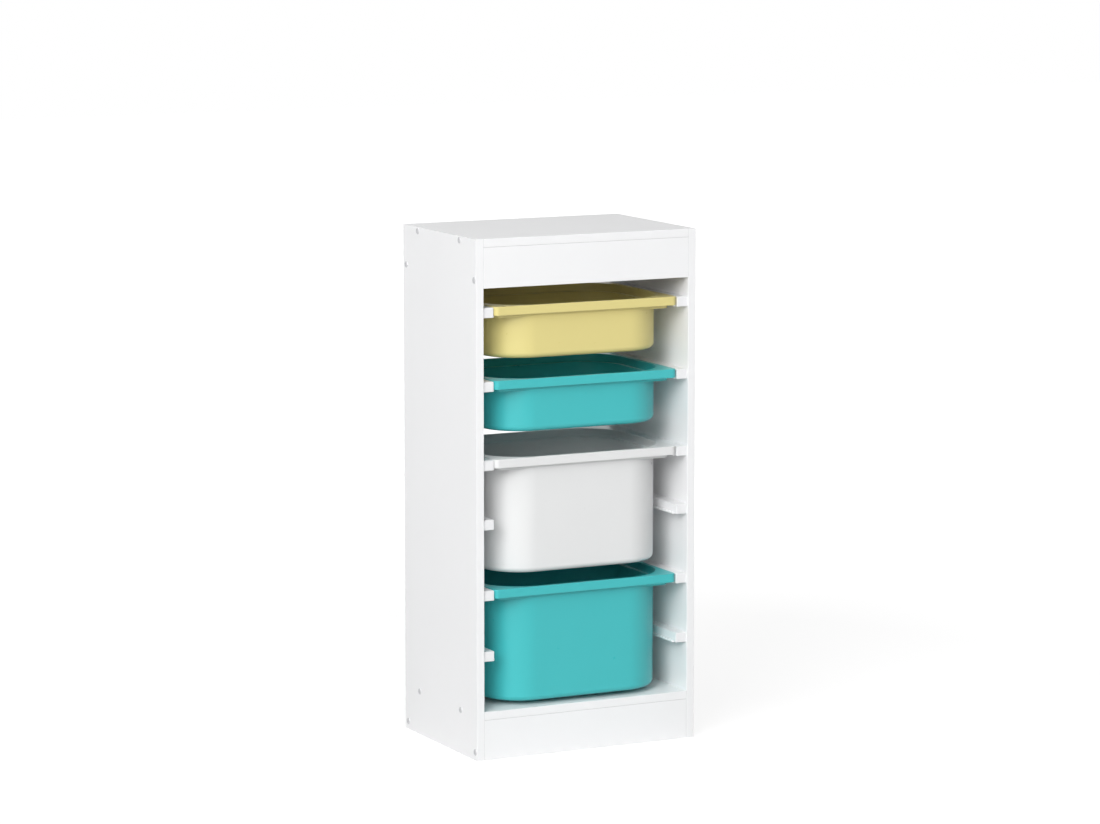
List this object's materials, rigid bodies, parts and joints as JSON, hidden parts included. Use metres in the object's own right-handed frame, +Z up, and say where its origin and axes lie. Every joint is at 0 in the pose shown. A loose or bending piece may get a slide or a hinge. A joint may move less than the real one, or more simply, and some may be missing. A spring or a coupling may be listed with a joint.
{
  "type": "toy storage organizer with bins",
  "caption": "Open upright storage frame of white laminated board with pull-out plastic bins, shallow and deep, that hang on side runners by their rims.",
  "frame": {"origin": "middle of the footprint, on the floor", "axes": "+Z up, +X to the right across the front, +Y from the open front to the back, so the bins pull out along -Y"},
  "size_m": [0.4432, 0.308, 0.938],
  "materials": {
    "laminate": "white foil on particle board, satin",
    "runner_plastic": "white moulded plastic, fine grain",
    "zinc_steel": "zinc plated",
    "beech": "plain turned wood",
    "yellow_plastic": "pale yellow moulded plastic, satin",
    "teal_plastic": "teal moulded plastic, satin",
    "white_plastic": "off-white moulded plastic, satin"
  },
  "bodies": {
    "cabinet": {"right_side_panel": "laminate", "left_side_panel": "laminate", "top_panel": "laminate", "bottom_shelf": "laminate", "front_apron": "laminate", "front_plinth": "laminate", "upper_back_rail": "laminate", "lower_back_rail": "laminate", "runner_right_1": "runner_plastic", "runner_right_2": "runner_plastic", "runner_right_3": "runner_plastic", "runner_right_4": "runner_plastic", "runner_right_5": "runner_plastic", "runner_right_6": "runner_plastic", "runner_left_1": "runner_plastic", "runner_left_2": "runner_plastic", "runner_left_3": "runner_plastic", "runner_left_4": "runner_plastic", "runner_left_5": "runner_plastic", "runner_left_6": "runner_plastic", "panel_screws_right": "zinc_steel", "panel_screws_left": "zinc_steel", "dowels_right": "beech", "dowels_left": "beech", "runner_screws_right": "zinc_steel", "runner_screws_left": "zinc_steel"},
    "yellow_bin": {"bin_shallow_yellow": "yellow_plastic"},
    "shallow_teal_bin": {"bin_shallow_teal": "teal_plastic"},
    "white_bin": {"bin_deep_white": "white_plastic"},
    "deep_teal_bin": {"bin_deep_teal": "teal_plastic"}
  },
  "joints": [
    {"name": "yellow_bin_slide", "type": "slide", "parent": "cabinet", "child": "yellow_bin", "axis": [0, -1, 0], "range_m": [0, 0.18]},
    {"name": "shallow_teal_bin_slide", "type": "slide", "parent": "cabinet", "child": "shallow_teal_bin", "axis": [0, -1, 0], "range_m": [0, 0.18]},
    {"name": "white_bin_slide", "type": "slide", "parent": "cabinet", "child": "white_bin", "axis": [0, -1, 0], "range_m": [0, 0.18]},
    {"name": "deep_teal_bin_slide", "type": "slide", "parent": "cabinet", "child": "deep_teal_bin", "axis": [0, -1, 0], "range_m": [0, 0.18]}
  ]
}
